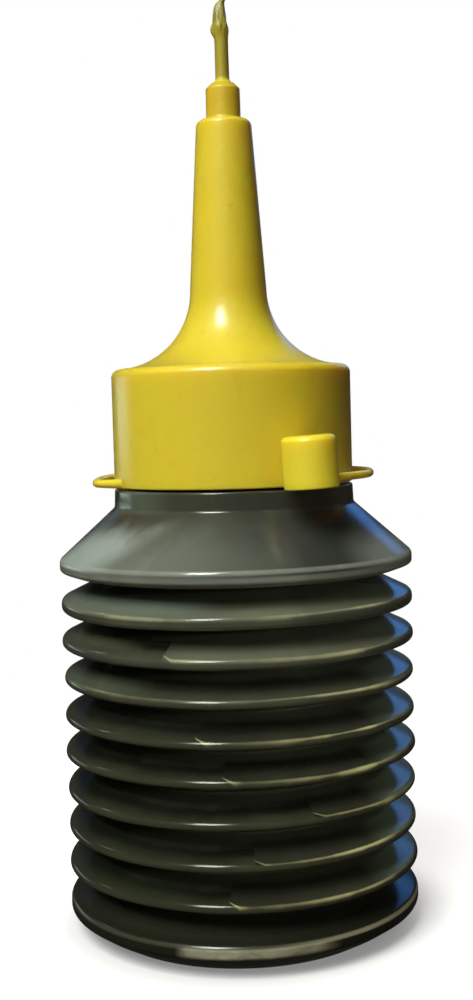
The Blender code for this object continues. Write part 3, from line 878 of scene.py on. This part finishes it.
def add_grease():
    """The grease in two lengths: the lower one rides on the base and the upper one on the neck."""
    grease = grease_finish()
    root = INNER_R - GREASE_GAP
    outline = [(0, SHOULDER_Z), (GREASE_TIP, SHOULDER_Z), (root, SHOULDER_Z - GREASE_HALF)]
    for k in range(FOLDS, 0, -1):
        z = BASE_CREST_Z + k * PITCH
        outline += [(root, z + GREASE_HALF), (GREASE_TIP, z), (root, z - GREASE_HALF)]
    outline += [(root, BASE_CREST_Z + GREASE_HALF), (GREASE_TIP, BASE_CREST_Z)]
    outline += [(FOOT_R - FOOT_RING, GREASE_FLOOR), (0, GREASE_FLOOR)]
    mesh = lathe("grease_core", spread(outline, closed=False, longest=GREASE_LONGEST), SMALL_SEGMENTS)
    core = add_piece("grease_core", mesh, grease, "base", ["grease_fill"])
    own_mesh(core)
    collar, collar_top = COLLAR_R - WALL - GREASE_GAP, COLLAR_TOP - WALL - GREASE_GAP
    plug = [
        (0, LIP_Z - GREASE_GAP, 0),
        (NECK_BORE - GREASE_GAP, LIP_Z - GREASE_GAP, 0.6),
        (NECK_BORE - GREASE_GAP, collar_top, 0.6),
        (collar, collar_top, 0.6),
        (collar, COLLAR_Z - 1.2, 0.8),
        (GREASE_TIP, SHOULDER_Z + 0.4, 0.3),
        (GREASE_TIP - 1, SHOULDER_Z, 0.2),
        (0, SHOULDER_Z, 0),
    ]
    profile = spread(rounded(plug, closed=False), closed=False, longest=GREASE_LONGEST)
    add_piece("grease_plug", lathe("grease_plug", profile, SMALL_SEGMENTS), grease, "neck")
    refinish("nozzle_grease", grease)
    refinish("cap_liner", foam_finish())


def nib_wave(wave, angle, height):
    size, waves, turn = wave
    return size * math.sin(waves * angle + turn * height)


def nib_mesh():
    """The stem and its torn, bent end, as rows of points round an uneven line."""
    rings = []
    for height, shift, wide, deep, ragged in NIB_RINGS:
        ring = []
        for i in range(NIB_SIDES):
            a = math.tau * i / NIB_SIDES
            lump = 1 + ragged * sum(nib_wave(wave, a, height) for wave in NIB_LUMPS)
            lift = ragged * nib_wave(NIB_LIFT, a, height)
            x, y = shift + wide * lump * math.cos(a), deep * lump * math.sin(a)
            ring.append((x, y, SEAT_TOP + height + lift))
        rings.append(ring)
    rings.append([(NIB_POINT[0], 0.0, SEAT_TOP + NIB_POINT[1])])
    return finish_mesh("nib_skin", *skin(rings))


def flare(radius, reach, steps):
    """The flare's arc, from the spout's side out to the radius that it reaches."""
    end = math.asin(max(0.0, (FLARE_CENTRE - reach) / radius))
    turns = [math.pi / 2 + (end - math.pi / 2) * i / steps for i in range(steps + 1)]
    return [(FLARE_CENTRE - radius * math.sin(t), FLARE_TOP - radius * math.cos(t), 0) for t in turns]


def add_cap():
    yellow = yellow_finish()
    outline = [
        (0.5, SEAT_TOP, 0),
        (SEAT_R - 0.85, SEAT_TOP, 0.25),
        (SEAT_R, SEAT_TOP - 0.8, 0.3),
        (SEAT_R + 0.03, SPOUT_TOP, 0.35),
        (SPOUT_TIP_R, SPOUT_TOP, 0.95),
        *flare(FLARE_R, CAP_R - 1.0, FLARE_STEPS),
        (CAP_R, CAP_TOP, 1.15),
        (CAP_R, CAP_Z, 0.22),
        (CAP_INNER, CAP_Z, 0.3),
        (CAP_INNER, CEILING, 0.5),
        (LAND_R, CEILING, 0.3),
        *reversed(flare(FLARE_R + SPOUT_WALL, LAND_R - 0.4, BORE_STEPS)),
        (SPOUT_TIP_R - SPOUT_WALL, SPOUT_TOP - SPOUT_WALL, 0),
        (1.2, SPOUT_TOP, 0),
    ]
    mesh = lathe("cap_skin", spread(rounded(outline)))
    add_piece("cap_skin", mesh, yellow, "cap", ["nozzle_cap"])
    add_piece("cap_thread", thread("cap_thread", *CAP_THREAD), yellow, "cap")
    add_piece("nib_skin", nib_mesh(), nib_finish(), "cap", ["sealing_nib"])
    middle = on_circle(TIP_RING, TIP_ANGLE, STRAP_Z)
    add_tip_cap(middle)
    add_strap(yellow, middle)


def add_tip_cap(middle):
    """The tip cap, leaning a little about its middle at the strap's height."""
    tip = [
        (0, TIP_HEIGHT + 0.03, 0),
        (TIP_TOP_R, TIP_HEIGHT - 0.02, 0.85),
        (TIP_R, 0.0, 0.18),
        (TIP_BORE, 0.0, 0.25),
        (TIP_BORE, TIP_DEPTH, 0.4),
        (0, TIP_DEPTH, 0),
    ]
    profile = raised(spread(rounded(tip, closed=False), closed=False, longest=TIP_LONGEST), CAP_Z)
    mesh = lathe("tip_cap_skin", profile, SMALL_SEGMENTS, centre=middle[:2])
    pivot = middle * MM
    lean = Euler((0, math.radians(TIP_LEAN), 0)).to_matrix().to_4x4()
    mesh.transform(Matrix.Translation(pivot) @ lean @ Matrix.Translation(-pivot))
    # Painted light: a paler copy of the cap's yellow.
    pale = yellow_finish("tip_yellow_painted_lighter", TIP_PAINTED_LIGHT)
    add_piece("tip_cap_skin", mesh, pale, "tip", ["tip_cap"])


def strap_height(angle):
    """The height of the strap's middle, a little lower at its root."""
    share = min(1.0, max(0.0, (angle - STRAP_START + STRAP_EASE) / STRAP_EASE))
    return STRAP_Z - STRAP_DROP * ease(share)


def strap_point(angle):
    """The strap's middle at an angle round the cap."""
    flat = STRAP_FLAT * (1 - math.cos(math.tau * (STRAP_START - angle) / LINK_STEP)) / 2
    return on_circle(STRAP_R - flat, angle, strap_height(angle))


def strap_root_points(thick):
    """The strap's root, thicker where it leaves the skirt."""
    inside = CAP_R - ROOT_DEPTH
    points, radii = [], []
    for i in range(ROOT_STEPS + 1):
        share = i / ROOT_STEPS
        angle = STRAP_START + ROOT_TURN * (1 - share)
        points.append(on_circle(inside + (STRAP_R - inside) * ease(share), angle, strap_height(angle)))
        radii.append(thick * (1 + ROOT_THICKER * (1 - share) ** 2))
    return points, radii


def add_strap(yellow, tip_middle):
    """The strap in lengths from the middle of one link to the next, each running across its hinge."""
    thick = STRAP_THICK / 2
    for i in range(LINKS + 1):
        hinge = STRAP_START - LINK_STEP * i
        first, last = hinge + LINK_STEP / 2, hinge - LINK_STEP / 2
        start, end = strap_point(hinge + LINK_STEP * BEND_REACH), strap_point(hinge - LINK_STEP * BEND_REACH)
        if i == 0:
            points, radii = strap_root_points(thick)
            points += [strap_point(a) for a in np.linspace(hinge, last, ROOT_POINTS)[1:]]
            radii += [thick] * (ROOT_POINTS - 1)
            start = strap_point(hinge + ROOT_BEND)
        elif i == LINKS:
            points = [strap_point(a) for a in np.linspace(first, hinge + END_CLEAR, END_POINTS)]
            radii = [thick] * len(points)
            end = strap_point(hinge)
            points += [end.lerp(tip_middle, share) for share, _ in END_SHAPE]
            radii += [thick * thicker for _, thicker in END_SHAPE]
            start = strap_point(hinge + END_BEND)
        else:
            points = [strap_point(a) for a in np.linspace(first, last, LINK_POINTS)]
            radii = [thick] * len(points)
        name = f"strap_{i + 1}_skin"
        obj = add_piece(name, sweep(name, points, radii), yellow, None)
        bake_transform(obj)
        if i < LINKS:
            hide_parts(f"strap_link_{i + 1}")


# Camera, in metres and degrees, fitted to the photograph
CAMERA_PLACE = (0.001026, -0.1915, 0.0723)
CAMERA_LENS = 48.36
CAMERA_SENSOR = 36.0
CAMERA_NEAR = 0.01
CAMERA_PITCH = 3.66
CAMERA_YAW = 0.205
CAMERA_ROLL = -1.6


def add_camera():
    data = bpy.data.cameras.new("camera")
    data.lens = CAMERA_LENS
    data.sensor_width = CAMERA_SENSOR
    data.clip_start = CAMERA_NEAR
    camera = add_object("camera", data)
    camera.location = CAMERA_PLACE
    aim = Euler((math.radians(90 - CAMERA_PITCH), 0, math.radians(CAMERA_YAW))).to_matrix()
    roll = Euler((0, 0, math.radians(CAMERA_ROLL))).to_matrix()
    camera.rotation_euler = (aim @ roll).to_euler()
    bpy.context.scene.camera = camera


# Lamps, in metres and degrees: the key with its own highlight, highlights at the left, and two fills
KEY_WHITE = (0.98, 1.0, 0.94)
LAMPS = {
    "key": dict(
        azimuth=-33, elevation=50, distance=1.00, size=(0.60, 0.60), watts=15.0, colour=KEY_WHITE,
        gloss=False,
    ),
    "glint": dict(
        azimuth=-27, elevation=50, distance=1.00, size=(0.26, 0.42), watts=9.5, colour=KEY_WHITE,
        diffuse=False,
    ),
    "left_glint": dict(
        azimuth=-118, elevation=36, distance=0.35, size=(0.04, 0.04), watts=0.0003, colour=KEY_WHITE,
        aim=0.026, diffuse=False, angle=9,
    ),
    "strip": dict(
        azimuth=-126, elevation=1, distance=0.50, size=(0.22, 0.064), watts=0.07, colour=(0.78, 1.0, 1.0),
        aim=0.071,
    ),
    "back": dict(
        azimuth=165, elevation=20, distance=0.80, size=(0.5, 0.5), watts=2.0, colour=(1.0, 0.93, 0.80),
        gloss=False,
    ),
    "low": dict(
        azimuth=38, elevation=12, distance=0.35, size=(0.20, 0.045), watts=0.008, colour=(1.0, 1.0, 0.96),
        aim=0.028, gloss=False, angle=10,
    ),
}


def add_lamp(
    name, azimuth, elevation, distance, size, watts, colour, aim=0.062, diffuse=True, gloss=True, angle=180
):
    """A rectangular lamp that aims at a height on the axis, with the angle that its light spreads to.
    Its azimuth is from the front, to the right if positive."""
    data = bpy.data.lights.new(name, "AREA")
    data.shape = "RECTANGLE"
    data.size, data.size_y = size
    data.energy = watts
    data.color = colour
    data.spread = math.radians(angle)
    lamp = add_object(name, data)
    a, e = math.radians(azimuth), math.radians(elevation)
    back = Vector((math.sin(a) * math.cos(e), -math.cos(a) * math.cos(e), math.sin(e)))
    lamp.location = Vector((0, 0, aim)) + back * distance
    lamp.rotation_euler = back.to_track_quat("Z", "Y").to_euler()
    lamp.visible_diffuse = diffuse
    lamp.visible_glossy = gloss


def shown_white(tree):
    """1 for rays that show the background itself: from the camera, in gloss and through clear things."""
    path = tree.nodes.new("ShaderNodeLightPath")
    total = path.outputs["Is Camera Ray"]
    for key in ("Is Glossy Ray", "Is Transmission Ray"):
        node = tree.nodes.new("ShaderNodeMath")
        node.operation = "MAXIMUM"
        tree.links.new(total, node.inputs[0])
        tree.links.new(path.outputs[key], node.inputs[1])
        total = node.outputs[0]
    return total


WORLD_COLOUR = (1.0, 0.64, 0.30, 1.0)
WORLD_STRENGTH = 0.045


def set_world():
    """White behind the object, and a dim, warm, even light from all round."""
    world = bpy.data.worlds.new("studio")
    bpy.context.scene.world = world
    world.use_nodes = True
    tree = world.node_tree
    dim = tree.nodes["Background"]
    dim.inputs["Color"].default_value = WORLD_COLOUR
    dim.inputs["Strength"].default_value = WORLD_STRENGTH
    white = tree.nodes.new("ShaderNodeBackground")
    white.inputs["Color"].default_value = (1, 1, 1, 1)
    white.inputs["Strength"].default_value = 1.0
    mix = tree.nodes.new("ShaderNodeMixShader")
    tree.links.new(shown_white(tree), mix.inputs[0])
    tree.links.new(dim.outputs[0], mix.inputs[1])
    tree.links.new(white.outputs[0], mix.inputs[2])
    tree.links.new(mix.outputs[0], tree.nodes["World Output"].inputs["Surface"])


FLOOR_SIZE = 3.0  # metres, half of its side
FLOOR_BOUNCE = (0.150, 0.112, 0.070)
FLOOR_PAPER = (0.55, 0.55, 0.55)
# Radii between which the floor turns from plain white to lit paper, and its painted contact shadow under the
# foot
FLOOR_LIT = (190.0, 40.0)
FLOOR_GLOW = 0.76
PAINTED_CONTACT_SHADOW = (21.0, 34.0)
CONTACT_SHADOW_GLOW = 0.3


def add_floor():
    """A pale floor that shows white away from the object and takes its shadow near it, with a painted
    contact shadow under the foot.
    """
    s = FLOOR_SIZE
    mesh = bpy.data.meshes.new("floor")
    mesh.from_pydata([(-s, -s, 0), (s, -s, 0), (s, s, 0), (-s, s, 0)], [], [(0, 1, 2, 3)])
    floor = add_object("floor", mesh)
    f = Finish("pale_floor")
    f.set(Base_Color=FLOOR_BOUNCE, Roughness=0.9, Specular_IOR_Level=0.0)
    radius = f.polar()[0]
    near = f.smooth(radius, *FLOOR_LIT)
    painted_shadow = f.smooth(radius, *PAINTED_CONTACT_SHADOW)
    glow = f.add("ShaderNodeEmission")
    shine = f.times(f.between(near, 1.0, FLOOR_GLOW), f.between(painted_shadow, CONTACT_SHADOW_GLOW, 1.0))
    f.put(shine, glow.inputs["Strength"])
    paper = f.add("ShaderNodeBsdfDiffuse")
    f.put(f.mix(near, (0.0, 0.0, 0.0), FLOOR_PAPER), paper.inputs["Color"])
    both = f.add("ShaderNodeAddShader")
    f.put(glow.outputs[0], both.inputs[0])
    f.put(paper.outputs[0], both.inputs[1])
    mix = f.add("ShaderNodeMixShader")
    f.put(shown_white(f.tree), mix.inputs[0])
    f.put(f.shader.outputs[0], mix.inputs[1])
    f.put(both.outputs[0], mix.inputs[2])
    f.show(mix.outputs[0])
    mesh.materials.append(f.material)


# The room's outline as (radius, height) in metres, and its colours
ROOM_OUTLINE = [(0.0, 0.0002), (1.5, 0.0002), (1.5, 0.8), (1.25, 1.25), (0.7, 1.55), (0.0, 1.65)]
ROOM_SEGMENTS = 48
ROOM_DARK = (0.025, 0.025, 0.022)
ROOM_BACK = (0.050, 0.080, 0.095)
ROOM_BLUE = (0.17, 0.52, 1.38)
LEFT_WALL = 0.04  # of the right wall's light
# Fades of the walls and of the paler back, over angles in radians
RIGHT_SIDES = ((0.96, 1.04), (1.33, 1.30))
LEFT_SIDES = ((1.80, 1.90), (2.15, 2.0))
BACK_SIDES = ((1.25, 1.34), (1.80, 1.66))
# Fades of the walls' feet and top, over heights in metres. The right wall's foot falls to the left
RIGHT_FALL = 0.9
RIGHT_FOOT = (1.37, 1.53)
LEFT_FOOT = (0.25, 0.46)
WALL_TOP = (1.1, 0.7)


def add_room():
    """A dark room with a blue wall at the back. It shows only in the object's gloss."""
    rings = []
    for radius, height in ROOM_OUTLINE:
        count = ROOM_SEGMENTS if radius else 1
        rings.append([on_circle(radius, 360 * i / count, height) / MM for i in range(count)])
    mesh = finish_mesh("room", *skin(rings, end_caps=False))
    room = add_object("room", mesh)
    f = Finish("room")
    x, y, z = f.axes()
    side = f.calc("ARCTAN2", y, x)
    in_right, in_left, behind = (
        f.times(*(f.smooth(side, *fade) for fade in fades)) for fades in (RIGHT_SIDES, LEFT_SIDES, BACK_SIDES)
    )
    slant = f.calc("MULTIPLY_ADD", side, RIGHT_FALL, z)
    right = f.times(in_right, f.smooth(slant, *RIGHT_FOOT))
    left = f.times(in_left, f.smooth(z, *LEFT_FOOT))
    wall = f.times(f.smooth(z, *WALL_TOP), f.calc("MULTIPLY_ADD", left, LEFT_WALL, right))
    glow = f.add("ShaderNodeEmission")
    f.put(f.mix(wall, f.mix(behind, ROOM_DARK, ROOM_BACK), ROOM_BLUE), glow.inputs["Color"])
    f.show(glow.outputs[0])
    mesh.materials.append(f.material)
    room.visible_camera = False
    room.visible_diffuse = False
    room.visible_shadow = False
    room.visible_transmission = False


def add_studio():
    bpy.context.scene.view_settings.view_transform = "Standard"
    set_world()
    add_floor()
    add_room()
    for name, settings in LAMPS.items():
        add_lamp(name, **settings)


add_camera()
add_bottle()
add_grease()
add_cap()
add_studio()
